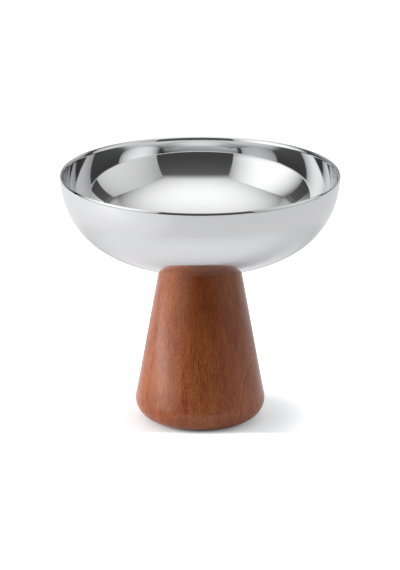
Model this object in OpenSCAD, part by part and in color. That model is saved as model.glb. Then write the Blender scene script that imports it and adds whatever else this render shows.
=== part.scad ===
// Footed dessert bowl: a mirror-polished steel bowl on a turned wooden foot.
// A stud welded under the bowl runs down through the foot, where a nut in a well draws
// the two together. A felt pad closes the well and keeps the wood off the table.
// Sizes are in millimetres. The origin is the centre of the underside, with +Z up.

/* [Bowl] */
// Outside diameter across the lip
bowl_diameter = 130; // [112:1:160]
// Outside height of the bowl, from its flat seat to the top of the lip
bowl_depth = 41.5; // [35:0.1:52]
// Thickness of the sheet that the bowl is spun from
sheet = 1.2; // [0.8:0.1:2]
// Lean of the upper wall away from upright, in degrees
wall_lean = 7; // [3:0.5:11]
// Height of the straight band of wall under the lip
wall_band = 5.7; // [3:0.1:10]
// Tilt of the wall where the tight knuckle hands over to the broad floor, in degrees
knuckle_tilt = 56.5; // [50:0.5:62]
// Radius of the flat seat under the bowl
seat_radius = 18.5; // [18.3:0.1:26]

/* [Foot] */
// Height of the wooden foot
foot_height = 76.5; // [66:0.1:100]
// Radius of the foot at the bowl
foot_top_radius = 18.2; // [15:0.1:18.5]
// Radius that the foot's sides would reach at the bottom without the rounding
foot_base_radius = 32; // [30:0.1:42]
// Rounding of the bottom edge
base_rounding = 8.6; // [1:0.1:9]
// Rounding of the top edge
top_rounding = 0.5; // [0.2:0.1:1.5]
// Depth of the well that the nut is reached through
well_depth = 45; // [25:0.5:58]
// Diameter of the well
well_diameter = 20; // [19.5:0.1:24]

/* [Stud] */
// Diameter of the stud, over its thread
stud_diameter = 6; // [4:0.1:6]
// Diameter of the stud's weld flange
flange_diameter = 13; // [9:0.1:18]
// Thickness of the weld flange
flange_thickness = 1.5; // [1:0.1:3]
// Bevel on the lower end of the stud
stud_bevel = 0.8; // [0.2:0.1:1.2]
// Length of thread that shows below the nut
thread_shown = 2.5; // [1:0.1:5]

/* [Washers and nut] */
// Outside diameter of the flat washer
washer_diameter = 18; // [13:0.1:19]
// Thickness of the flat washer
washer_thickness = 1.6; // [1:0.1:2.5]
// Outside diameter of the spring washer
spring_diameter = 11.8; // [9.5:0.1:13]
// Thickness of the spring washer
spring_thickness = 1.6; // [1:0.1:2.5]
// Width of the slit in the spring washer
spring_slit = 0.9; // [0.5:0.1:1.5]
// Slant of that slit, in degrees
slit_slant = 30; // [0:1:40]
// Width of the nut across its flats
nut_across_flats = 10; // [8:0.1:13]
// Height of the nut
nut_height = 5; // [3:0.1:8]
// Angle of the bevel on the nut's corners, in degrees
nut_bevel_angle = 30; // [15:1:40]

/* [Pad] */
// Diameter of the felt pad
pad_diameter = 40; // [30:0.1:42]
// Thickness of the pad
pad_thickness = 2; // [1.5:0.1:4]
// Height of pad that stands proud of the foot
pad_proud = 1; // [0.3:0.1:1.3]

/* [Clearances] */
// Room round the stud in the foot, on each side
stud_room = 0.3; // [0.1:0.05:0.6]
// Room round the weld flange in its recess, on each side and below
flange_room = 0.4; // [0.1:0.05:0.8]
// Room round the stud in the washers, on each side
washer_room = 0.2; // [0.1:0.05:0.4]
// Room between the threads of the nut and the stud, on each side
thread_room = 0.05; // [0.02:0.01:0.15]
// Room round the pad in its recess, on each side
pad_room = 0.3; // [0.1:0.05:0.6]

/* [Hidden] */

// Finest turn between two points of an arc, in degrees, and the facets of a full circle
arc_step = 3;
round_facets = 180;
// Overshoot of a cut past the face that it opens
past = 1;
nut_sides = 6;

// Heights above the table
foot_bottom = pad_proud;
foot_top = foot_bottom + foot_height;
well_top = foot_bottom + well_depth;
washer_bottom = well_top - washer_thickness;
spring_bottom = washer_bottom - spring_thickness;
nut_bottom = spring_bottom - nut_height;
stud_bottom = nut_bottom - thread_shown;
flange_bottom = foot_top - flange_thickness;

// Middle line of the bowl's sheet: a leaning band, a knuckle arc and a floor arc, each
// running into the next without a corner. The two radii follow from the room that the
// band leaves for them, across and down.
half_sheet = sheet / 2;
lip = [bowl_diameter / 2 - half_sheet, bowl_depth - half_sheet];
band_end = lip - wall_band * [tan(wall_lean), 1];
across = band_end.x - seat_radius;
down = band_end.y - half_sheet;
knuckle_run = cos(wall_lean) - cos(knuckle_tilt);
knuckle_drop = sin(knuckle_tilt) - sin(wall_lean);
floor_run = cos(knuckle_tilt);
floor_drop = 1 - sin(knuckle_tilt);
share = knuckle_drop * floor_run - knuckle_run * floor_drop;
knuckle_radius = (down * floor_run - across * floor_drop) / share;
floor_radius = (across * knuckle_drop - down * knuckle_run) / share;
knuckle_centre = band_end - knuckle_radius * [cos(wall_lean), -sin(wall_lean)];
floor_centre = [seat_radius, half_sheet + floor_radius];

// Slope of the foot's side, from upright
foot_slope = atan((foot_base_radius - foot_top_radius) / foot_height);

// Points along an arc, from one angle to another, both ends included
function arc(centre, radius, from, to) =
    let (steps = ceil(abs(to - from) / arc_step))
    [for (i = [0 : steps])
        let (angle = from + (to - from) * i / steps)
        centre + radius * [cos(angle), sin(angle)]];

// A list without its first point, for an arc that starts where the last one ended
function rest(points) = [for (i = [1 : len(points) - 1]) points[i]];

// One face of the sheet, from the flat seat up to the straight band
function face(offset) = concat(
    arc(floor_centre, floor_radius + offset, -90, -knuckle_tilt),
    rest(arc(knuckle_centre, knuckle_radius + offset, -knuckle_tilt, -wall_lean)));

// The same face, from the band down to the seat
function face_down(offset) =
    let (up = face(offset))
    [for (i = [len(up) - 1 : -1 : 0]) up[i]];

// Place of the centre of a rounding in a corner, measured along the edge from that corner
function setback(radius, corner) = radius / tan(corner / 2);

// Straight hole from one height to another
module hole(diameter, from, to) {
    translate([0, 0, from])
        cylinder(d = diameter, h = to - from, $fn = round_facets);
}

// Flat ring that hangs on the stud
module ring(diameter, thickness) {
    difference() {
        cylinder(d = diameter, h = thickness, $fn = round_facets);
        hole(stud_diameter + 2 * washer_room, -past, thickness + past);
    }
}

module bowl() {
    color("gainsboro")
        translate([0, 0, foot_top])
            rotate_extrude($fn = round_facets)
                polygon(concat(
                    [[0, 0]],
                    face(half_sheet),
                    arc(lip, half_sheet, -wall_lean, 180 - wall_lean),
                    face_down(-half_sheet),
                    [[0, sheet]]));
}

module weld_stud() {
    stud_radius = stud_diameter / 2;
    flange_radius = flange_diameter / 2;
    color("silver")
        rotate_extrude($fn = round_facets)
            polygon([[0, stud_bottom],
                     [stud_radius - stud_bevel, stud_bottom],
                     [stud_radius, stud_bottom + stud_bevel],
                     [stud_radius, flange_bottom],
                     [flange_radius, flange_bottom],
                     [flange_radius, foot_top],
                     [0, foot_top]]);
}

module foot() {
    bottom_setback = setback(base_rounding, 90 - foot_slope);
    top_setback = setback(top_rounding, 90 + foot_slope);
    color("saddlebrown")
        difference() {
            translate([0, 0, foot_bottom])
                rotate_extrude($fn = round_facets)
                    polygon(concat(
                        [[0, 0]],
                        arc([foot_base_radius - bottom_setback, base_rounding], base_rounding,
                            -90, foot_slope),
                        arc([foot_top_radius - top_setback, foot_height - top_rounding], top_rounding,
                            foot_slope, 90),
                        [[0, foot_height]]));
            hole(stud_diameter + 2 * stud_room, well_top - past, foot_top + past);
            hole(flange_diameter + 2 * flange_room, flange_bottom - flange_room, foot_top + past);
            hole(well_diameter, foot_bottom - past, well_top);
            hole(pad_diameter + 2 * pad_room, foot_bottom - past, pad_thickness);
        }
}

module flat_washer() {
    color("silver")
        translate([0, 0, washer_bottom])
            ring(washer_diameter, washer_thickness);
}

module spring_washer() {
    slit_height = 2 * (spring_thickness + spring_diameter * tan(slit_slant));
    color("darkgray")
        translate([0, 0, spring_bottom])
            difference() {
                ring(spring_diameter, spring_thickness);
                translate([spring_diameter / 2, 0, spring_thickness / 2])
                    rotate([slit_slant, 0, 0])
                        cube([spring_diameter, spring_slit, slit_height], center = true);
            }
}

module hex_nut() {
    corner_diameter = nut_across_flats / cos(180 / nut_sides);
    bevel_height = (corner_diameter - nut_across_flats) / 2 * tan(nut_bevel_angle);
    color("silver")
        translate([0, 0, nut_bottom])
            difference() {
                intersection() {
                    cylinder(d = corner_diameter, h = nut_height, $fn = nut_sides);
                    rotate_extrude($fn = round_facets)
                        polygon([[0, 0],
                                 [nut_across_flats / 2, 0],
                                 [corner_diameter / 2, bevel_height],
                                 [corner_diameter / 2, nut_height - bevel_height],
                                 [nut_across_flats / 2, nut_height],
                                 [0, nut_height]]);
                }
                hole(stud_diameter + 2 * thread_room, -past, nut_height + past);
            }
}

module base_pad() {
    color("dimgray")
        cylinder(d = pad_diameter, h = pad_thickness, $fn = round_facets);
}

bowl();
weld_stud();
foot();
flat_washer();
spring_washer();
hex_nut();
base_pad();
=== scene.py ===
# %% [markdown]
# # A footed dessert bowl
# A mirror-polished steel bowl stands on a turned wooden foot. Out of sight, a stud welded under the
# bowl runs down through the foot, and two washers and a nut in a well draw the wood up against the
# steel. A felt pad closes the well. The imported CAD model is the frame: each piece below is built in
# metres, where its CAD node stands, and takes that node's place. Light bounces many times between
# the walls of a polished bowl, so more mirror bounces than usual are allowed.

# %% Load the frame
import math

import bmesh
import bpy
from mathutils import Matrix, Vector, noise


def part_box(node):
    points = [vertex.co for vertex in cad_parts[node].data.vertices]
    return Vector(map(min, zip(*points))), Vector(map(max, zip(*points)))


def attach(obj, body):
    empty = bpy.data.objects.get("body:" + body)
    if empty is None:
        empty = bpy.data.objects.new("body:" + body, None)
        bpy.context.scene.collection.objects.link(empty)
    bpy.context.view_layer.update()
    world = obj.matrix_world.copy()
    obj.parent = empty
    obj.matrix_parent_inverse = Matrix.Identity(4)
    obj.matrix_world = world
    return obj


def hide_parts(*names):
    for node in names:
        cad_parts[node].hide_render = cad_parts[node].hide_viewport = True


MIRROR_BOUNCES = 12

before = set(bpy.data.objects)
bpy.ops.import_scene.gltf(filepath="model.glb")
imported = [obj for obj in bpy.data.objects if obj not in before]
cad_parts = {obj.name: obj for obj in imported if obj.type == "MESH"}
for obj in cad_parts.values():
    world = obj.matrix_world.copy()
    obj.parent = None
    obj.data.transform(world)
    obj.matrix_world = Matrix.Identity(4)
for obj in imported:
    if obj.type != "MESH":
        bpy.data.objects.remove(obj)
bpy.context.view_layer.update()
scene = bpy.context.scene
scene.view_settings.view_transform = "Standard"
scene.cycles.glossy_bounces = MIRROR_BOUNCES

# %% [markdown]
# ## The camera
# The photograph was taken from far away with a long lens, so its ellipses are nearly flat. The
# distance, the height and the lens come from fitting the rim, the bowl's outline and the foot's
# outline together. Blender measures the lens against the long side of the picture, 36 mm.

# %% Camera
MM = 0.001
CAMERA_AIM = Vector((-0.08 * MM, 0.0, 64.63 * MM))
CAMERA_DISTANCE = 1644.5 * MM
CAMERA_ELEVATION = math.radians(17.88)
CAMERA_LENS = 222.5

camera_data = bpy.data.cameras.new("camera")
camera_data.lens = CAMERA_LENS
camera = bpy.data.objects.new("camera", camera_data)
scene.collection.objects.link(camera)
towards_camera = Vector((0.0, -math.cos(CAMERA_ELEVATION), math.sin(CAMERA_ELEVATION)))
camera.location = CAMERA_AIM + towards_camera * CAMERA_DISTANCE
camera.rotation_euler = (-towards_camera).to_track_quat("-Z", "Y").to_euler()
scene.camera = camera
print("camera at", list(camera.location))

# %% [markdown]
# ## Outlines
# Every piece here is turned, spun, punched or drilled about one axis, so an outline of radius and
# height says all about it. A modifier could spin the outline too, but a helper that lays the rings
# itself also makes screw threads and a six-sided nut, whose outline changes on the way round.

# %% Points along lines, arcs and rounded corners
LINE_STEP = 2.0 * MM
ARC_STEP = 1.5
FULL_TURN = 360.0
HALF_TURN = 180.0
QUARTER_TURN = 90.0


def straight(start, end, step=LINE_STEP):
    """Points from start to end, no further apart than step."""
    count = max(1, math.ceil(math.dist(start, end) / step))
    return [tuple(a + (b - a) * i / count for a, b in zip(start, end)) for i in range(count + 1)]


def arc(centre, radius, first, last, step=ARC_STEP):
    """Points along an arc. Angles and step are in degrees."""
    count = max(1, math.ceil(abs(last - first) / step))
    angles = [math.radians(first + (last - first) * i / count) for i in range(count + 1)]
    return [(centre[0] + radius * math.cos(a), centre[1] + radius * math.sin(a)) for a in angles]


def rounded(corner, before, after, radius, step):
    """Points of the arc that rounds one corner between its two neighbours."""
    corner = Vector(corner)
    back = (Vector(before) - corner).normalized()
    ahead = (Vector(after) - corner).normalized()
    half = back.angle(ahead) / 2
    centre = corner + (back + ahead).normalized() * (radius / math.sin(half))
    first = corner + back * (radius / math.tan(half)) - centre
    last = corner + ahead * (radius / math.tan(half)) - centre
    start = math.degrees(math.atan2(first.y, first.x))
    swing = math.degrees(math.atan2(last.y, last.x)) - start
    swing = (swing + HALF_TURN) % FULL_TURN - HALF_TURN
    return arc(centre, radius, start, start + swing, step)


def softened(corners, step):
    """A closed outline from (radius, height, rounding) corners, with straight runs subdivided."""
    arcs = []
    for i, (radius, height, rounding) in enumerate(corners):
        before = corners[i - 1][:2]
        after = corners[(i + 1) % len(corners)][:2]
        if rounding:
            arcs.append(rounded((radius, height), before, after, rounding, step))
        else:
            arcs.append([(radius, height)])
    points = []
    for i, bend in enumerate(arcs):
        points += bend
        points += straight(bend[-1], arcs[(i + 1) % len(arcs)][0])[1:-1]
    return points


print("a quarter turn has", len(arc((0.0, 0.0), MM, 0.0, QUARTER_TURN)), "points")

# %% [markdown]
# ## From an outline to a mesh
# The outline is laid at every angle round the axis and each ring is joined to the next. An outline
# that starts and ends on the axis closes itself there, and any other is closed into a loop. Points
# that fall together on the axis are merged, so the mesh is watertight and has no stray faces.

# %% Turn an outline round the axis
MERGE = 0.0001 * MM
CREASE = math.radians(30)


def turned(name, outline, segments, sweep=FULL_TURN, start=0.0):
    """A mesh object swept round Z, where outline(angle) gives the (radius, height) points there."""
    closed = sweep == FULL_TURN
    steps = segments if closed else segments + 1
    mesh = bmesh.new()
    rings = []
    for i in range(steps):
        angle = math.radians(start + sweep * i / segments)
        ring = []
        for radius, height in outline(angle):
            ring.append(mesh.verts.new((radius * math.cos(angle), radius * math.sin(angle), height)))
        rings.append(ring)
    points = len(rings[0])
    on_axis = rings[0][0].co.xy.length < MERGE and rings[0][-1].co.xy.length < MERGE
    for i in range(steps if closed else segments):
        here = rings[i]
        there = rings[(i + 1) % steps]
        for j in range(points - 1 if on_axis else points):
            k = (j + 1) % points
            mesh.faces.new((here[j], there[j], there[k], here[k]))
    if not closed:
        mesh.faces.new(rings[0])
        mesh.faces.new(rings[-1][::-1])
    bmesh.ops.remove_doubles(mesh, verts=mesh.verts, dist=MERGE)
    bmesh.ops.recalc_face_normals(mesh, faces=mesh.faces)
    data = bpy.data.meshes.new(name)
    mesh.to_mesh(data)
    mesh.free()
    data.polygons.foreach_set("use_smooth", [True] * len(data.polygons))
    data.set_sharp_from_angle(angle=CREASE)
    piece = bpy.data.objects.new(name, data)
    scene.collection.objects.link(piece)
    return piece


def fitted(piece, node, material):
    """Puts a piece in the place of its CAD node, on the one body, with its finish."""
    piece.data.materials.append(material)
    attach(piece, "root")
    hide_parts(node)
    print(piece.name, "has", len(piece.data.polygons), "faces")


# %% [markdown]
# ## Shader maths in plain Python
# Procedural finishes are formulas. Wiring each Math node by hand hides the formula, so a small class
# wraps a socket: adding or multiplying two of them adds the Math node and gives its output back.
# Any other node comes from one method, which takes the settings first and then the sockets. The
# Mix node has sockets for every kind of value, so those for colours go by number.

# %% The wire class
# Finer layers of a noise
SMOOTH = 1.0
SOFT = 2.0
GRAINY = 3.0
CLOUDY = 4.0
MATTED = 5.0
LAYER_SHARE = 0.5
NOISE_MIDDLE = 0.5
MIX_SHARE = 0
MIX_FIRST = 6
MIX_SECOND = 7
MIX_RESULT = 2


class Wire:
    """A socket of a node tree that can be used in a formula."""

    def __init__(self, tree, socket=None):
        self.tree = tree
        self.socket = socket

    def plug(self, node, inputs):
        """Sets or links the sockets of a node."""
        for name, value in inputs.items():
            if isinstance(value, Wire):
                self.tree.links.new(value.socket, node.inputs[name])
            else:
                node.inputs[name].default_value = value

    def add(self, kind, settings, inputs, output=0):
        """Adds a node of any kind: its settings first, then its sockets."""
        node = self.tree.nodes.new(kind)
        for name, value in settings.items():
            setattr(node, name, value)
        self.plug(node, inputs)
        return Wire(self.tree, node.outputs[output])

    def math(self, operation, first, second=0.0, third=0.0):
        """Adds a Math node."""
        return self.add("ShaderNodeMath", {"operation": operation}, {0: first, 1: second, 2: third})

    def __add__(self, other):
        return self.math("ADD", self, other)

    def __radd__(self, other):
        return self.math("ADD", other, self)

    def __sub__(self, other):
        return self.math("SUBTRACT", self, other)

    def __rsub__(self, other):
        return self.math("SUBTRACT", other, self)

    def __mul__(self, other):
        return self.math("MULTIPLY", self, other)

    def __rmul__(self, other):
        return self.math("MULTIPLY", other, self)

    def __truediv__(self, other):
        return self.math("DIVIDE", self, other)

    def __rtruediv__(self, other):
        return self.math("DIVIDE", other, self)

    def __pow__(self, other):
        return self.math("POWER", self, other)

    def __rpow__(self, other):
        return self.math("POWER", other, self)

    def between(self, low, high):
        """Rises smoothly from 0 to 1 while this value goes from low to high."""
        return self.add(
            "ShaderNodeMapRange",
            {"interpolation_type": "SMOOTHSTEP"},
            {"Value": self, "From Min": low, "From Max": high},
        )

    def axes(self):
        """The three parts of a vector."""
        node = self.add("ShaderNodeSeparateXYZ", {}, {0: self}).socket.node
        return [Wire(self.tree, socket) for socket in node.outputs]

    def stretch(self, x, y, z):
        """A vector with each of its parts multiplied."""
        return self.add("ShaderNodeVectorMath", {"operation": "MULTIPLY"}, {0: self, 1: (x, y, z)})

    def per(self, size):
        """A vector measured in steps of one size."""
        return self.stretch(1 / size, 1 / size, 1 / size)

    def noise(self, layers, share=LAYER_SHARE):
        """Noise from about 0 to 1, with blobs about one unit of this vector wide."""
        return self.add(
            "ShaderNodeTexNoise",
            {},
            {"Vector": self, "Scale": 1.0, "Detail": layers, "Roughness": share},
        )

    def ripple(self, layers, share=LAYER_SHARE):
        """The same noise, moved so that it swings about 0."""
        return self.noise(layers, share) - NOISE_MIDDLE

    def mix(self, first, second):
        """A colour between two, with this value as the share of the second."""
        return self.add(
            "ShaderNodeMix",
            {"data_type": "RGBA"},
            {MIX_SHARE: self, MIX_FIRST: first, MIX_SECOND: second},
            MIX_RESULT,
        )

    def bump(self):
        """A surface normal from this height, in metres."""
        return self.add("ShaderNodeBump", {}, {"Strength": 1.0, "Distance": 1.0, "Height": self})


def finish(name):
    """A new material, its shader, a loose wire, and the place on the piece in millimetres."""
    material = bpy.data.materials.new(name)
    material.use_nodes = True
    wire = Wire(material.node_tree)
    place = wire.add("ShaderNodeTexCoord", {}, {}, output="Object").per(MM)
    return material, material.node_tree.nodes["Principled BSDF"], wire, place


print("Blender", bpy.app.version_string)

# %% [markdown]
# ## The bowl
# The bowl is spun from one round of sheet steel: a flat seat, a broad floor arc, a tighter knuckle
# and a nearly straight band under the lip. The two arcs run into each other without a corner, and
# their radii follow from the room between the seat and the band, as in the CAD source. A mirror
# shows every facet, so the rings are close together.

# %% Floor and knuckle of the bowl
SHEET = 1.2 * MM
WALL_LEAN = 7.0
WALL_BAND = 5.7 * MM
KNUCKLE_TILT = 56.5
SEAT_RADIUS = 18.5 * MM


def outward(tilt):
    """The outward direction, square to a wall that leans by so many degrees."""
    return Vector((math.cos(math.radians(tilt)), -math.sin(math.radians(tilt))))


bowl_low, bowl_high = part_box("bowl")
half_sheet = SHEET / 2
lip = Vector((bowl_high.x - half_sheet, bowl_high.z - half_sheet))
band_end = lip - WALL_BAND * Vector((math.tan(math.radians(WALL_LEAN)), 1.0))
across = band_end.x - SEAT_RADIUS
down = band_end.y - bowl_low.z - half_sheet
knuckle_run, knuckle_drop = outward(WALL_LEAN) - outward(KNUCKLE_TILT)
floor_run, floor_drop = outward(KNUCKLE_TILT) - outward(QUARTER_TURN)
share = knuckle_drop * floor_run - knuckle_run * floor_drop
knuckle_radius = (down * floor_run - across * floor_drop) / share
floor_radius = (across * knuckle_drop - down * knuckle_run) / share
knuckle_centre = band_end - knuckle_radius * outward(WALL_LEAN)
floor_centre = Vector((SEAT_RADIUS, bowl_low.z + half_sheet + floor_radius))
print("knuckle", knuckle_radius / MM, "floor", floor_radius / MM)

# %% [markdown]
# ### The lip
# The edge of a spun bowl is not cut square. The polishing wheel eases both of its edges into long
# soft curves that meet in a narrow crest, and the dark line along the lip is the room behind the
# camera, mirrored in those curves. Just under the lip the inner wall stands nearly upright, a tenth
# of a millimetre inside the plain offset of the outer one, and the reflections there follow it.

# %% Lip and faces of the sheet
LIP_LEAN = 2.0
UPRIGHT_FROM = 12.0
UPRIGHT_TO = 1.8 * MM
UPRIGHT_STEP = 0.5
OUTER_ROUNDING = 2.2 * MM
INNER_ROUNDING = 3.2 * MM
LIP_CREST = 0.06 * MM
CREST_INSET = 0.55 * MM
CREST_STEP = 12.0
OUTSIDE = 1
INSIDE = -1
BOWL_SEGMENTS = 256

crest = Vector((bowl_high.x - CREST_INSET, bowl_high.z - LIP_CREST))


def sheet_face(offset, upper_tilt):
    """One face of the sheet, from the axis out and up to where the wall leans by upper_tilt."""
    seat_height = bowl_low.z + half_sheet - offset
    points = straight((0.0, seat_height), (SEAT_RADIUS, seat_height))
    points += arc(floor_centre, floor_radius + offset, -QUARTER_TURN, -KNUCKLE_TILT)[1:]
    return points + arc(knuckle_centre, knuckle_radius + offset, -KNUCKLE_TILT, -upper_tilt)[1:]


def eased(wall_top, tilt, side, rounding):
    """The long curve from the wall up to the crest, outside or inside, and its last angle."""
    square = outward(tilt) * side
    upward = Vector((-outward(tilt).y, outward(tilt).x))
    inset = (crest - Vector(wall_top)).dot(square) + rounding
    rise = math.sqrt((rounding - LIP_CREST) ** 2 - inset ** 2)
    centre = crest - square * inset - upward * rise
    first = math.degrees(math.atan2(square.y, square.x))
    last = math.degrees(math.atan2((crest - centre).y, (crest - centre).x))
    return arc(centre, rounding, first, last), last


outer_face = sheet_face(half_sheet, WALL_LEAN)
inner_face = sheet_face(-half_sheet, UPRIGHT_FROM)
upright_rise = bowl_high.z - UPRIGHT_TO - inner_face[-1][1]
upright_radius = upright_rise / (outward(LIP_LEAN) - outward(UPRIGHT_FROM)).y
upright_centre = Vector(inner_face[-1]) - upright_radius * outward(UPRIGHT_FROM)
inner_face += arc(upright_centre, upright_radius, -UPRIGHT_FROM, -LIP_LEAN, UPRIGHT_STEP)[1:]

outer_lip, outer_end = eased(outer_face[-1], WALL_LEAN, OUTSIDE, OUTER_ROUNDING)
inner_lip, inner_end = eased(inner_face[-1], LIP_LEAN, INSIDE, INNER_ROUNDING)
bowl_outline = outer_face + straight(outer_face[-1], outer_lip[0], MM)[1:-1] + outer_lip
bowl_outline += arc(crest, LIP_CREST, outer_end, inner_end, CREST_STEP)[1:-1]
bowl_outline += (inner_face + inner_lip)[::-1]
bowl = turned("spun_bowl", lambda angle: bowl_outline, BOWL_SEGMENTS)
print("lip curves meet the crest at", outer_end, "and", inner_end, "degrees")

# %% [markdown]
# ### Mirror-polished steel
# Polished steel is nearly all reflection, so its finish is told by small departures: the wheel
# leaves hair-fine rings round the axis, the spun sheet is not perfectly true, and faint patches are
# polished a little less. All three are kept far below what would blur the mirror.

# %% Finish of the bowl
STEEL_COLOUR = (0.72, 0.721, 0.727, 1.0)
PATCH_COLOUR = (0.7, 0.701, 0.706, 1.0)
PATCH_SHARE = 0.5
PATCH_EDGE = (0.45, 0.75)
PATCH_SIZE = 14.0
RING_SIZE = 0.35
WAVE_SIZE = 22.0
STEEL_ROUGHNESS = 0.03
PATCH_ROUGHNESS = 0.02
RING_ROUGHNESS = 0.02
RING_HEIGHT = 0.00002 * MM
WAVE_HEIGHT = 0.004 * MM

steel, shader, wire, place = finish("mirror polished steel")
x, y, z = place.axes()
radius = (x * x + y * y) ** 0.5
across_rings = wire.add("ShaderNodeCombineXYZ", {}, {"X": radius, "Z": z})
rings = across_rings.per(RING_SIZE).noise(GRAINY)
waves = place.per(WAVE_SIZE).noise(SMOOTH)
patches = place.per(PATCH_SIZE).noise(CLOUDY).between(*PATCH_EDGE)
wire.plug(shader, {
    "Base Color": (patches * PATCH_SHARE).mix(STEEL_COLOUR, PATCH_COLOUR),
    "Metallic": 1.0,
    "Roughness": STEEL_ROUGHNESS + PATCH_ROUGHNESS * patches + RING_ROUGHNESS * rings,
    "Normal": (rings * RING_HEIGHT + waves * WAVE_HEIGHT).bump(),
})
fitted(bowl, "bowl", steel)

# %% [markdown]
# ## The foot
# The foot is one piece of wood turned on a lathe: a plain cone, cut short where the bowl sits, with
# a large rounding at the bottom. A hole for the stud, a recess for its flange and a deep well for
# the nut are drilled from its two ends. One outline runs round the outside and back up the inside,
# so the wood is a closed solid with a real bore.

# %% Shape of the foot
FOOT_TOP_RADIUS = 18.2 * MM
FOOT_BASE_RADIUS = 32.0 * MM
BASE_ROUNDING = 8.6 * MM
TOP_ROUNDING = 0.5 * MM
STUD_HOLE = 3.3 * MM
FLANGE_RECESS = 6.9 * MM
FLANGE_DEPTH = 1.9 * MM
WELL_RADIUS = 10.0 * MM
WELL_DEPTH = 45.0 * MM
PAD_RECESS = 20.3 * MM
EASED = 0.3 * MM
FOOT_STEP = 3.0
FOOT_SEGMENTS = 192

foot_low, foot_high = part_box("foot")
pad_low, pad_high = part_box("base_pad")
foot_corners = [
    (PAD_RECESS, foot_low.z, EASED),
    (FOOT_BASE_RADIUS, foot_low.z, BASE_ROUNDING),
    (FOOT_TOP_RADIUS, foot_high.z, TOP_ROUNDING),
    (FLANGE_RECESS, foot_high.z, EASED),
    (FLANGE_RECESS, foot_high.z - FLANGE_DEPTH, 0.0),
    (STUD_HOLE, foot_high.z - FLANGE_DEPTH, EASED),
    (STUD_HOLE, foot_low.z + WELL_DEPTH, EASED),
    (WELL_RADIUS, foot_low.z + WELL_DEPTH, 0.0),
    (WELL_RADIUS, pad_high.z, EASED),
    (PAD_RECESS, pad_high.z, 0.0),
]
foot_outline = softened(foot_corners, FOOT_STEP)
foot = turned("turned_foot", lambda angle: foot_outline, FOOT_SEGMENTS)
print("foot from", foot_low.z / MM, "to", foot_high.z / MM)

# %% [markdown]
# ### Stained wood
# The wood is an orange-brown, fine-pored kind under a satin oil. Its figure is solid, so it is
# worked out from the place inside the piece. One growth line climbs steeply from the bottom on the
# right and flattens out as it goes round. It is written as a height that depends on the way round,
# and the distance from it also carries a few faint bands. Heights are in millimetres, and the way
# round is in degrees from the front towards the right.

# %% Growth line of the wood
LINE_START = 37.1
LINE_TOP = 31.5
LINE_DROP = 24.8
LINE_TURN = 8.8
LINE_STEEPNESS = 5.6
LINE_WIDTH = (0.05, 0.28)
GLINT_WIDTH = (0.05, 0.4)
GLINT_ABOVE = 0.5
LINE_WANDER = 0.5
WANDERS_PER_MM = (0.5, 0.5, 0.2)
BAND_PER_MM = 0.35
BAND_PER_DEGREE = 0.02
SIDE_ENDS = (95.0, 150.0)

wood, shader, wire, place = finish("stained wood")
x, y, z = place.axes()
around = wire.math("ARCTAN2", x, y * -1) * math.degrees(1)
steep = math.e ** ((LINE_START - around) / LINE_TURN)
wander = place.stretch(*WANDERS_PER_MM).ripple(SOFT) * LINE_WANDER
from_line = (z - LINE_TOP + LINE_DROP * steep) / (1 + LINE_STEEPNESS * steep)
beside_line = from_line + wander
on_side = 1 - around.between(*SIDE_ENDS)
line = (1 - wire.math("ABSOLUTE", beside_line).between(*LINE_WIDTH)) * on_side
glint = (1 - wire.math("ABSOLUTE", beside_line - GLINT_ABOVE).between(*GLINT_WIDTH)) * on_side
band_place = {"X": from_line * BAND_PER_MM, "Y": around * BAND_PER_DEGREE}
bands = wire.add("ShaderNodeCombineXYZ", {}, band_place).ripple(GRAINY) * on_side
print("the growth line takes", len(wood.node_tree.nodes), "nodes")

# %% [markdown]
# ### Fibres, pores and stain
# Every other pattern in the wood is a noise that is drawn out along the height, from hair-fine
# fibres to broad clouds of stain. The side of a cone would cut across upright fibres and leave short
# blots of them, so their place is widened again by as much as the foot narrows, and they run along
# its side. Squaring the sum of the patterns makes the pale flecks stand out more than the dark ones.
# On the right the fine patterns are calmer. One darker patch is no noise but painted shade: it lies
# high on the front, where the bowl above shades the wood.

# %% Figure of the wood
FLECKS_PER_MM = (5.0, 5.0, 0.5)
FIBRES_PER_MM = (2.6, 2.6, 0.16)
FIBRE_LAYER_SHARE = 0.7
SPECKS_PER_MM = (4.0, 4.0, 0.8)
SPECK_EDGE = (0.6, 0.75)
PORES_PER_MM = (3.0, 3.0, 0.35)
PORE_EDGE = (0.68, 0.76)
STREAKS_PER_MM = (0.3, 0.3, 0.012)
STAINS_PER_MM = (0.06, 0.06, 0.03)
# Where the painted shade from the bowl lies: heights in millimetres, degrees round from the front.
PAINTED_SHADE_HEIGHT = (40.0, 60.0)
PAINTED_SHADE_MIDDLE = -4.0
PAINTED_SHADE_HALF_WIDTH = (12.0, 42.0)
CALM_START = (5.0, 30.0)

taper_per_mm = (1 - FOOT_TOP_RADIUS / FOOT_BASE_RADIUS) * MM / (foot_high.z - foot_low.z)
widening = 1 / (1 - z * taper_per_mm)
along_side = wire.add("ShaderNodeCombineXYZ", {}, {"X": x * widening, "Y": y * widening, "Z": z})
flecks = place.stretch(*FLECKS_PER_MM).ripple(SMOOTH)
fibres = along_side.stretch(*FIBRES_PER_MM).ripple(GRAINY, FIBRE_LAYER_SHARE)
streaks = place.stretch(*STREAKS_PER_MM).ripple(GRAINY)
stains = place.stretch(*STAINS_PER_MM).ripple(SOFT)
specks = place.stretch(*SPECKS_PER_MM).noise(SMOOTH).between(*SPECK_EDGE)
pores = place.stretch(*PORES_PER_MM).noise(SMOOTH).between(*PORE_EDGE)
# Painted shade: the top of the front is darkened where the bowl's shadow falls on it.
off_painted_shade = wire.math("ABSOLUTE", around - PAINTED_SHADE_MIDDLE).between(*PAINTED_SHADE_HALF_WIDTH)
painted_shade = z.between(*PAINTED_SHADE_HEIGHT) * (1 - off_painted_shade)
calm = around.between(*CALM_START) * on_side
print("the foot narrows by", taper_per_mm, "of its width for each millimetre of height")

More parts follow.
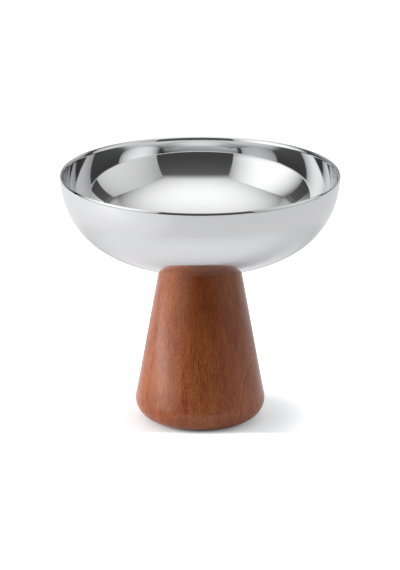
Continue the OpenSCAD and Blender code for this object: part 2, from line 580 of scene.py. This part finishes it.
# %% Colours and sheen of the wood
WOOD_DARK = (0.18, 0.02, 0.001, 1.0)
WOOD_LIGHT = (0.451, 0.145, 0.039, 1.0)
PORE_COLOUR = (0.05, 0.012, 0.005, 1.0)
LINE_COLOUR = (0.09, 0.02, 0.008, 1.0)
# Colour of the painted shade under the bowl.
PAINTED_SHADE_COLOUR = (0.18, 0.03, 0.006, 1.0)
MIDDLE_TONE = 0.45
FLECK_TONE = 1.05
FIBRE_TONE = 1.3
SPECK_TONE = 0.15
STREAK_TONE = 0.36
STAIN_TONE = 0.3
BAND_TONE = 0.2
GLINT_TONE = 0.22
TONE_GAIN = 2.0
CALM_LOSS = 0.35
PAINTED_SHADE_SHARE = 0.45
LINE_SHARE = 0.75
PORE_SHARE = 0.45
OIL_ROUGHNESS = 0.2
FLECK_ROUGHNESS = 0.1
PORE_ROUGHNESS = 0.25
GRAIN_HEIGHT = 0.03 * MM
FLECK_RELIEF = 0.5
PORE_RELIEF = 0.6
LINE_RELIEF = 0.3

fine = flecks * FLECK_TONE + fibres * FIBRE_TONE + specks * SPECK_TONE
tone = MIDDLE_TONE + fine * (1 - CALM_LOSS * calm)
tone = tone + streaks * STREAK_TONE + stains * STAIN_TONE + bands * BAND_TONE + glint * GLINT_TONE
tone = wire.math("MAXIMUM", tone, 0.0)
grain = (tone * tone * TONE_GAIN).mix(WOOD_DARK, WOOD_LIGHT)
# Painted shade from the bowl, high on the front.
grain = (painted_shade * PAINTED_SHADE_SHARE).mix(grain, PAINTED_SHADE_COLOUR)
grain = (line * LINE_SHARE).mix(grain, LINE_COLOUR)
relief = flecks * FLECK_RELIEF + fibres - pores * PORE_RELIEF - line * LINE_RELIEF
wire.plug(shader, {
    "Base Color": (pores * PORE_SHARE).mix(grain, PORE_COLOUR),
    "Roughness": OIL_ROUGHNESS + FLECK_ROUGHNESS * flecks + PORE_ROUGHNESS * pores,
    "Normal": (relief * GRAIN_HEIGHT).bump(),
})
fitted(foot, "foot", wood)

# %% [markdown]
# ## The stud
# A flanged M6 stud is welded under the bowl's seat, so no screw head breaks the mirror inside. A
# thread is a groove wound round the rod: the radius at a point follows its height less the share of
# a turn, so one outline per angle winds it.

# %% Shape of the stud
PITCH = 1.0 * MM
CREST_RADIUS = 2.97 * MM
THREAD_DEPTH = 0.6 * MM
THREAD_FLAT = 0.12
FLANGE_RADIUS = 6.48 * MM
FLANGE_THICKNESS = 1.5 * MM
FLANGE_ROUNDING = 0.2 * MM
SMALL_STEP = 22.5
STUD_BEVEL = 0.8 * MM
RUN_OUT = 1.5 * MM
THREAD_ROWS = 8
THREAD_SEGMENTS = 48

stud_low, stud_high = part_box("weld_stud")


def thread_height(height, angle):
    """0 at the bottom of the groove and 1 on the crest, with short flats on both."""
    phase = (height / PITCH - angle / math.tau) % 1.0
    ramp = abs(2 * phase - 1)
    return min(1.0, max(0.0, (ramp - THREAD_FLAT) / (1 - 2 * THREAD_FLAT)))


def stud_outline(angle):
    """Outline of the stud, with its thread as it is at this angle."""
    thread_end = stud_high.z - FLANGE_THICKNESS - RUN_OUT
    rows = straight((0, stud_low.z + STUD_BEVEL), (0, thread_end), PITCH / THREAD_ROWS)
    points = [(0.0, stud_low.z), (CREST_RADIUS - STUD_BEVEL, stud_low.z)]
    for _, height in rows:
        fade = min(1.0, (thread_end - height) / RUN_OUT)
        groove = (1 - thread_height(height, angle)) * fade
        points.append((CREST_RADIUS - THREAD_DEPTH * groove, height))
    flange_bottom = stud_high.z - FLANGE_THICKNESS
    centre = (FLANGE_RADIUS - FLANGE_ROUNDING, flange_bottom + FLANGE_ROUNDING)
    points.append((CREST_RADIUS, flange_bottom))
    points += arc(centre, FLANGE_ROUNDING, -QUARTER_TURN, 0.0, SMALL_STEP)
    return points + [(FLANGE_RADIUS, stud_high.z), (0.0, stud_high.z)]


stud = turned("threaded_stud", stud_outline, THREAD_SEGMENTS)
print("stud from", stud_low.z / MM, "to", stud_high.z / MM)

# %% [markdown]
# ### Bare and plated steel
# The hidden hardware is plain: the stud is bare drawn steel, the nut and the flat washer are bright
# zinc plate with its faint blue and yellow cast, and the split washer is dark oiled spring steel.
# One recipe serves all three, with its own colours and roughness.

# %% Finishes of the hardware
DRAWN_LINES_PER_MM = (3.0, 3.0, 12.0)
DRAWN_ROUGHNESS = 0.08
DRAWN_HEIGHT = 0.002 * MM
CAST_SIZE = 2.0
CAST_EDGE = (0.4, 0.7)
CAST_ROUGHNESS = 0.1
STUD_COLOUR = (0.55, 0.55, 0.55, 1.0)
STUD_CAST = (0.47, 0.46, 0.45, 1.0)
STUD_ROUGHNESS = 0.3
ZINC_COLOUR = (0.62, 0.64, 0.68, 1.0)
ZINC_CAST = (0.64, 0.62, 0.54, 1.0)
ZINC_ROUGHNESS = 0.2
SPRING_COLOUR = (0.1, 0.1, 0.11, 1.0)
SPRING_CAST = (0.06, 0.058, 0.06, 1.0)
SPRING_ROUGHNESS = 0.35


def hardware(name, colour, cast, roughness):
    """A metal with fine drawing lines and patches of a second colour."""
    material, shader, wire, place = finish(name)
    lines = place.stretch(*DRAWN_LINES_PER_MM).noise(GRAINY)
    patches = place.per(CAST_SIZE).noise(GRAINY).between(*CAST_EDGE)
    wire.plug(shader, {
        "Base Color": patches.mix(colour, cast),
        "Metallic": 1.0,
        "Roughness": roughness + CAST_ROUGHNESS * patches + DRAWN_ROUGHNESS * lines,
        "Normal": (lines * DRAWN_HEIGHT).bump(),
    })
    return material


drawn_steel = hardware("drawn steel", STUD_COLOUR, STUD_CAST, STUD_ROUGHNESS)
zinc_plate = hardware("bright zinc plate", ZINC_COLOUR, ZINC_CAST, ZINC_ROUGHNESS)
spring_steel = hardware("oiled spring steel", SPRING_COLOUR, SPRING_CAST, SPRING_ROUGHNESS)
fitted(stud, "weld_stud", drawn_steel)

# %% [markdown]
# ## The washers
# A flat washer is punched from sheet, so its edges are slightly drawn over. A spring washer is a
# bent bar whose two ends nearly meet: it is swept a little short of a full turn and then twisted,
# so that the slit leans as it does on the real one.

# %% Flat washer
WASHER_HOLE = 3.2 * MM
WASHER_SEGMENTS = 96
DRAWN_EDGE = 0.3 * MM


def ring_section(radius, low, high):
    """Section of a ring that hangs on the stud, with its four edges drawn over."""
    corners = [(WASHER_HOLE, low), (radius, low), (radius, high), (WASHER_HOLE, high)]
    return softened([(*corner, DRAWN_EDGE) for corner in corners], SMALL_STEP)


washer_low, washer_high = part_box("flat_washer")
washer_outline = ring_section(washer_high.x, washer_low.z, washer_high.z)
washer = turned("punched_washer", lambda angle: washer_outline, WASHER_SEGMENTS)
fitted(washer, "flat_washer", zinc_plate)

# %% Spring washer
SLIT = 0.9 * MM
SLIT_SLANT = math.radians(30)

spring_low, spring_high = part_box("spring_washer")
spring_radius = -spring_low.x
spring_middle = (WASHER_HOLE + spring_radius) / 2
spring_outline = ring_section(spring_radius, spring_low.z, spring_high.z)
slit_turn = math.degrees(SLIT / math.cos(SLIT_SLANT) / spring_middle)
spring_sweep = FULL_TURN - slit_turn
spring = turned(
    "split_washer", lambda angle: spring_outline, WASHER_SEGMENTS, spring_sweep, slit_turn / 2
)
spring_centre = (spring_low.z + spring_high.z) / 2
for vertex in spring.data.vertices:
    twist = (vertex.co.z - spring_centre) * math.tan(SLIT_SLANT) / spring_middle
    vertex.co = Matrix.Rotation(-twist, 3, "Z") @ vertex.co
fitted(spring, "spring_washer", spring_steel)

# %% [markdown]
# ## The nut
# The nut's outside is a hexagon whose corners are cut back by a cone at both ends, and its bore
# carries the same thread as the stud, a hair wider. Both are a radius that depends on the angle.

# %% Shape of the nut
NUT_FLAT = 5.0 * MM
NUT_BEVEL = math.radians(30)
NUT_SIDE = math.radians(60)
NUT_SEGMENTS = 96
THREAD_GAP = 0.06 * MM
BORE_BEVEL = 0.2 * MM
BEVEL_ROWS = 5

nut_low, nut_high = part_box("hex_nut")
bevel_height = NUT_FLAT * (1 / math.cos(NUT_SIDE / 2) - 1) * math.tan(NUT_BEVEL)


def nut_outline(angle):
    """Outline of the nut at one angle: up the outside and down the threaded bore."""
    hexagon = NUT_FLAT / math.cos(angle % NUT_SIDE - NUT_SIDE / 2)
    row = bevel_height / BEVEL_ROWS
    lower = straight((0, nut_low.z), (0, nut_low.z + bevel_height), row)
    upper = straight((0, nut_high.z - bevel_height), (0, nut_high.z), row)
    points = []
    for _, height in lower + upper:
        end = min(height - nut_low.z, nut_high.z - height)
        points.append((min(hexagon, NUT_FLAT + end / math.tan(NUT_BEVEL)), height))
    for _, height in straight((0, nut_high.z), (0, nut_low.z), PITCH / THREAD_ROWS):
        end = min(height - nut_low.z, nut_high.z - height)
        groove = 1 - thread_height(height, angle)
        bore = CREST_RADIUS + THREAD_GAP - THREAD_DEPTH * groove
        points.append((max(bore, CREST_RADIUS + BORE_BEVEL - end), height))
    return points


nut = turned("hex_nut_threaded", nut_outline, NUT_SEGMENTS)
fitted(nut, "hex_nut", zinc_plate)

# %% [markdown]
# ## The felt pad
# The pad is die-cut from pressed wool felt. Its edge is soft and a little uneven, and its faces
# show matted fibres, so the rim is moved in and out by noise and the rest is left to the finish.

# %% Shape of the pad
PAD_ROUNDING = 0.5 * MM
PAD_MARGIN = 0.25 * MM
PAD_STEP = 15.0
PAD_SEGMENTS = 192
RAG_DEPTH = 0.2 * MM
RAGS_ROUND = 20
RAGS_PER_MM = 2

pad_bottom = (pad_high.x - PAD_MARGIN, pad_low.z)
pad_top = (pad_high.x - PAD_MARGIN, pad_high.z)
pad_rim = rounded(pad_bottom, (0.0, pad_low.z), pad_top, PAD_ROUNDING, PAD_STEP)
pad_rim += rounded(pad_top, pad_bottom, (0.0, pad_high.z), PAD_ROUNDING, PAD_STEP)


def pad_outline(angle):
    """Outline of the pad with its rim moved in and out a little."""
    points = straight((0.0, pad_low.z), pad_rim[0])[:-1]
    way_round = (math.cos(angle) * RAGS_ROUND, math.sin(angle) * RAGS_ROUND)
    for radius, height in pad_rim:
        spot = Vector((*way_round, height / MM * RAGS_PER_MM))
        points.append((radius + RAG_DEPTH * noise.noise(spot), height))
    return points + straight(pad_rim[-1], (0.0, pad_high.z))[1:]


pad = turned("felt_pad", pad_outline, PAD_SEGMENTS)
print("pad", pad_high.z / MM, "mm thick")

# %% Finish of the pad
FELT_COLOUR = (0.018, 0.016, 0.015, 1.0)
STRAND_COLOUR = (0.05, 0.045, 0.042, 1.0)
MATS_PER_MM = (1.2, 1.2, 1.2)
MAT_LAYER_SHARE = 0.7
MAT_SHARE = 0.4
STRANDS_PER_MM = (6.0, 1.5, 4.0)
STRAND_LAYER_SHARE = 0.6
STRAND_EDGE = (0.5, 0.7)
STRAND_SHARE = 0.6
FELT_ROUGHNESS = 0.9
MAT_ROUGHNESS = 0.1
FELT_SPECULAR = 0.2
FELT_SHEEN = 0.3
FELT_HEIGHT = 0.08 * MM

felt, shader, wire, place = finish("pressed felt")
mats = place.stretch(*MATS_PER_MM).noise(MATTED, MAT_LAYER_SHARE)
strands = place.stretch(*STRANDS_PER_MM).noise(GRAINY, STRAND_LAYER_SHARE).between(*STRAND_EDGE)
wire.plug(shader, {
    "Base Color": (strands * STRAND_SHARE + mats * MAT_SHARE).mix(FELT_COLOUR, STRAND_COLOUR),
    "Roughness": FELT_ROUGHNESS + MAT_ROUGHNESS * mats,
    "Specular IOR Level": FELT_SPECULAR,
    "Sheen Weight": FELT_SHEEN,
    "Normal": ((mats + strands) * FELT_HEIGHT).bump(),
})
fitted(pad, "base_pad", felt)

# %% [markdown]
# ## The floor and the white surroundings
# The bowl stands on a white table. A table lit like the object would come out pale grey, so it also
# glows for the camera: hardly at all in the gap under the foot, faintly in the halo of shadow round
# it, and fully further out and in front. For reflections it glows by another rule, weakly close to
# the foot and more strongly further off and on the left, because the underside of the bowl shows
# such a slope of grey. Places on the table are in millimetres. The world is white to the camera
# alone, as the steel has to show the dark side of a room.

# %% Floor
FLOOR_REACH = 3.0
FLOOR_FRONT = -0.9

floor_data = bpy.data.meshes.new("floor")
floor_front = [(-FLOOR_REACH, FLOOR_FRONT, 0.0), (FLOOR_REACH, FLOOR_FRONT, 0.0)]
floor_back = [(FLOOR_REACH, FLOOR_REACH, 0.0), (-FLOOR_REACH, FLOOR_REACH, 0.0)]
floor_data.from_pydata(floor_front + floor_back, [], [(0, 1, 2, 3)])
floor = bpy.data.objects.new("floor", floor_data)
scene.collection.objects.link(floor)
print("floor from", FLOOR_FRONT, "to", FLOOR_REACH)

# %% Glow of the floor
# The table's own colour is painted light: pale in a pool round the bowl and grey further off.
PAINTED_POOL_NEAR = (0.865, 0.875, 0.89, 1.0)
PAINTED_POOL_FAR = (0.36, 0.36, 0.365, 1.0)
FLOOR_ROUGHNESS = 0.9
SHADE_CENTRE = (5.0, 6.0)
SHADE_EDGE = (22.0, 56.0)
POOL_EDGE = (60.0, 180.0)
CONTACT_EDGE = (20.0, 25.0)
HALO_EDGE = (34.0, 80.0)
FRONT_EDGE = (-29.5, -21.5)
# The dip in glow round the foot paints part of its shadow; the rest is real shade. The cool tint is
# painted.
CONTACT_GLOW = 0.02
HALO_GLOW = 0.285
HALO_TINT = (0.9, 1.0, 1.01, 1.0)
BLACK = (0.0, 0.0, 0.0, 1.0)
MIRROR_CENTRE = (0.0, 45.0)
MIRROR_EDGE = (80.0, 200.0)
MIRROR_NEAR = 0.1
MIRROR_FAR = 0.47
TABLE_LEFT_EDGE = (-140.0, -60.0)
TABLE_LEFT_GLOW = 0.1


def distance(x, y, centre):
    """How far a place on the table is from a centre."""
    return ((x - centre[0]) ** 2 + (y - centre[1]) ** 2) ** 0.5


paper, shader, wire, place = finish("white table")
x, y, z = place.axes()
seen = wire.add("ShaderNodeLightPath", {}, {}, output="Is Camera Ray")
mirrored = wire.add("ShaderNodeLightPath", {}, {}, output="Is Glossy Ray")
through = wire.add("ShaderNodeLightPath", {}, {}, output="Is Transmission Ray")
from_axis = distance(x, y, (0.0, 0.0))
from_shade = distance(x, y, SHADE_CENTRE)
open_table = from_axis.between(*CONTACT_EDGE)
bleached = wire.math("MAXIMUM", from_axis.between(*HALO_EDGE), 1 - y.between(*FRONT_EDGE))
# Painted shadow round the foot, in a painted cool tint, on top of the real shade.
halo = seen * (CONTACT_GLOW + (HALO_GLOW - CONTACT_GLOW) * open_table)
camera_glow = seen * (1 - HALO_GLOW) * bleached * open_table
slope = distance(x, y, MIRROR_CENTRE).between(*MIRROR_EDGE)
mirror_glow = (MIRROR_NEAR + (MIRROR_FAR - MIRROR_NEAR) * slope) * from_shade.between(*SHADE_EDGE)
mirror_glow = mirror_glow + TABLE_LEFT_GLOW * (1 - x.between(*TABLE_LEFT_EDGE))
wire.plug(shader, {
    # Painted pool of light in the table's colour.
    "Base Color": from_shade.between(*POOL_EDGE).mix(PAINTED_POOL_NEAR, PAINTED_POOL_FAR),
    "Roughness": FLOOR_ROUGHNESS,
    "Specular IOR Level": 0.0,
    "Emission Color": wire.add("ShaderNodeVectorMath", {"operation": "ADD"}, {
        0: halo.mix(BLACK, HALO_TINT), 1: camera_glow + (mirrored + through) * mirror_glow,
    }),
    "Emission Strength": 1.0,
})
floor_data.materials.append(paper)
print("the table glows", HALO_GLOW, "in the halo and", MIRROR_FAR, "in mirrors")

# %% World
ROOM_LOW = 0.065
ROOM_HIGH = 0.2

world = bpy.data.worlds.new("studio")
world.use_nodes = True
scene.world = world
wire = Wire(world.node_tree)
seen = wire.add("ShaderNodeLightPath", {}, {}, output="Is Camera Ray")
upwards = wire.add("ShaderNodeTexCoord", {}, {}, output="Generated").axes()[2]
room = ROOM_LOW + ROOM_HIGH * upwards * upwards
wire.plug(world.node_tree.nodes["Background"], {"Color": seen + (1 - seen) * room, "Strength": 1.0})
print("the room behind the camera glows", ROOM_LOW)

# %% [markdown]
# ## The light cards
# The reflections in the bowl draw a map of the studio: a broad soft ceiling, a bright white card
# close by on the left, a weaker one on the right, a pale backdrop, and a dark gap where the camera
# stands. Lamps would shine through each other, so each is a glowing sheet, which hides what is
# behind it as a real card does. Only the camera and shadows look through them. Each glow is a short
# formula of the place on the card in metres, fitted to what the steel shows.

# %% Cards and how they glow
def card(name, corners, glow):
    """A glowing sheet with four corners. glow(x, y, z) gives its brightness at a place in metres."""
    data = bpy.data.meshes.new(name)
    data.from_pydata([Vector(corner) for corner in corners], [], [(0, 1, 2, 3)])
    sheet = bpy.data.objects.new(name, data)
    scene.collection.objects.link(sheet)
    sheet.visible_camera = False
    sheet.visible_shadow = False
    material, shader, wire, place = finish(name)
    x, y, z = place.per(1 / MM).axes()
    material.node_tree.nodes.remove(shader)
    glowing = wire.add("ShaderNodeEmission", {}, {"Color": glow(x, y, z), "Strength": 1.0})
    wire.plug(material.node_tree.nodes["Material Output"], {"Surface": glowing})
    data.materials.append(material)
    print(name, "has corners", corners)


def upright_card(name, centre, turn, half_width, heights, glow):
    """An upright card between two heights. glow(u, z) takes the place across it, from -1 to 1."""
    bottom, top = heights
    along = (-math.sin(turn), math.cos(turn))
    near = (centre[0] - half_width * along[0], centre[1] - half_width * along[1])
    far = (centre[0] + half_width * along[0], centre[1] + half_width * along[1])
    corners = [(*near, bottom), (*far, bottom), (*far, top), (*near, top)]
    card(name, corners, lambda x, y, z: glow(
        ((x - centre[0]) * along[0] + (y - centre[1]) * along[1]) / half_width, z
    ))


def hill(value, middle, reach):
    """1 at the middle, falling to 0 at the reach on both sides."""
    away = (value - middle) / reach
    return away.math("MAXIMUM", 1 - away * away, 0.0)


def shaded(u, z, middle, lean, loss, rise):
    """A glow that leans to one side, is lost towards both and changes with the height."""
    return middle + lean * u - loss * u * u + rise * z


# %% Ceiling and backdrop
ROOF_HEIGHT = 0.8
ROOF_SIDE = 1.1
ROOF_FRONT = -0.85
ROOF_BACK = 0.9
ROOF_GLOW = 1.66
ROOF_LOSS = 0.3
ROOF_HILL_X = (0.0, 1.09)
ROOF_HILL_Y = (-0.18, 0.92)
ROOF_LEAST = 0.18
BACK_GLOW = 0.7
BACK_HILL_X = (0.0, 0.6)
SIDE_GLOW = 0.4
SIDE_HILL_X = (0.0, 0.98)
SIDE_STEP = (0.0, 0.3)
BACK_START = (0.1, 0.35)
FRONT_SHARE = 0.4
FRONT_START = (-0.85, -0.6)
BACKDROP_PLACE = (0.0, 0.95)
BACKDROP_TURN = -math.pi / 2
BACKDROP_HALF_WIDTH = 1.92
BACKDROP_HEIGHTS = (0.0, 2.9)
BACKDROP_SHADE = {"middle": 0.33, "lean": 0.19, "loss": 0.53, "rise": 0.68}
BACKDROP_MOST = 1.3


def ceiling_glow(x, y, z):
    """Brightest over the bowl and straight behind it, and dim towards the front edge."""
    middle = ROOF_GLOW * hill(x, *ROOF_HILL_X) * hill(y, *ROOF_HILL_Y) - ROOF_LOSS
    broad = BACK_GLOW * hill(x, *BACK_HILL_X) + SIDE_GLOW * hill(x, *SIDE_HILL_X).between(*SIDE_STEP)
    back = ROOF_LEAST + broad * y.between(*BACK_START)
    front = FRONT_SHARE + (1 - FRONT_SHARE) * y.between(*FRONT_START)
    return x.math("MAXIMUM", middle, back) * front


def backdrop_glow(u, z):
    """Brighter upwards and dimmer to both sides, most so on the left."""
    return u.math("MINIMUM", shaded(u, z, **BACKDROP_SHADE), BACKDROP_MOST)


roof_front = [(-ROOF_SIDE, ROOF_FRONT, ROOF_HEIGHT), (ROOF_SIDE, ROOF_FRONT, ROOF_HEIGHT)]
roof_back = [(ROOF_SIDE, ROOF_BACK, ROOF_HEIGHT), (-ROOF_SIDE, ROOF_BACK, ROOF_HEIGHT)]
card("ceiling card", roof_front + roof_back, ceiling_glow)
upright_card(
    "backdrop card", BACKDROP_PLACE, BACKDROP_TURN, BACKDROP_HALF_WIDTH, BACKDROP_HEIGHTS,
    backdrop_glow,
)

# %% [markdown]
# ### The side cards and the lamp
# The foot of the left card carries a bright strip, which is the pale sheen on that side of the
# wood. The lip would mirror it as a burnt-out line, so a narrow flag hangs between the two, as a
# photographer would do it: the wood sees the strip under the flag. A soft lamp further out lights
# the wood as well, and mirrors do not see it.

# %% Side cards and lamp
LEFT_PLACE = (-0.302, -0.086)
LEFT_TURN = 0.499
LEFT_HALF_WIDTH = 0.25
LEFT_HEIGHTS = (0.0, 0.431)
LEFT_SHADE = {"middle": 1.62, "lean": -0.16, "loss": 1.08, "rise": -0.7}
LEFT_DIM = 0.6
LEFT_DIM_EDGE = (0.12, 0.17)
STRIP_GLOW = 5.2
STRIP_EDGE = (0.01, 0.034)
STRIP_START = (-0.85, 0.1)
FLAG_PLACE = (-0.181, -0.052)
FLAG_HALF_WIDTH = 0.16
FLAG_HEIGHTS = (0.054, 0.084)
FLAG_GLOW = (0.95, 0.95, 0.95, 1.0)
RIGHT_PLACE = (0.36, -0.074)
RIGHT_TURN = 2.684
RIGHT_HALF_WIDTH = 0.247
RIGHT_HEIGHTS = (0.0, 0.451)
RIGHT_SHADE = {"middle": 0.98, "lean": -0.06, "loss": 0.3, "rise": -0.46}
RIGHT_DIM = 0.4
RIGHT_DIM_EDGE = (0.07, 0.13)
LAMP_SIZE = 0.5
LAMP_POWER = 8.3
LAMP_PLACE = (-0.8, 0.09, 0.12)
LAMP_TURN = math.radians(-86)


def left_glow(u, z):
    """Brightest in the middle, dimmer low down, with the bright strip at the foot."""
    dim = LEFT_DIM + (1 - LEFT_DIM) * z.between(*LEFT_DIM_EDGE)
    strip = STRIP_GLOW * (1 - z.between(*STRIP_EDGE)) * u.between(*STRIP_START)
    return shaded(u, z, **LEFT_SHADE) * dim + strip


def right_glow(u, z):
    """The same idea, weaker and without a strip."""
    return shaded(u, z, **RIGHT_SHADE) - RIGHT_DIM * (1 - z.between(*RIGHT_DIM_EDGE))


upright_card("left card", LEFT_PLACE, LEFT_TURN, LEFT_HALF_WIDTH, LEFT_HEIGHTS, left_glow)
upright_card(
    "flag", FLAG_PLACE, LEFT_TURN, FLAG_HALF_WIDTH, FLAG_HEIGHTS, lambda u, z: FLAG_GLOW
)
upright_card("right card", RIGHT_PLACE, RIGHT_TURN, RIGHT_HALF_WIDTH, RIGHT_HEIGHTS, right_glow)
lamp = bpy.data.lights.new("side lamp", "AREA")
lamp.size = LAMP_SIZE
lamp.energy = LAMP_POWER
side_lamp = bpy.data.objects.new("side lamp", lamp)
side_lamp.location = LAMP_PLACE
side_lamp.rotation_euler = (0.0, LAMP_TURN, 0.0)
side_lamp.visible_glossy = False
scene.collection.objects.link(side_lamp)
print("side lamp of", LAMP_POWER, "watts at", LAMP_PLACE)
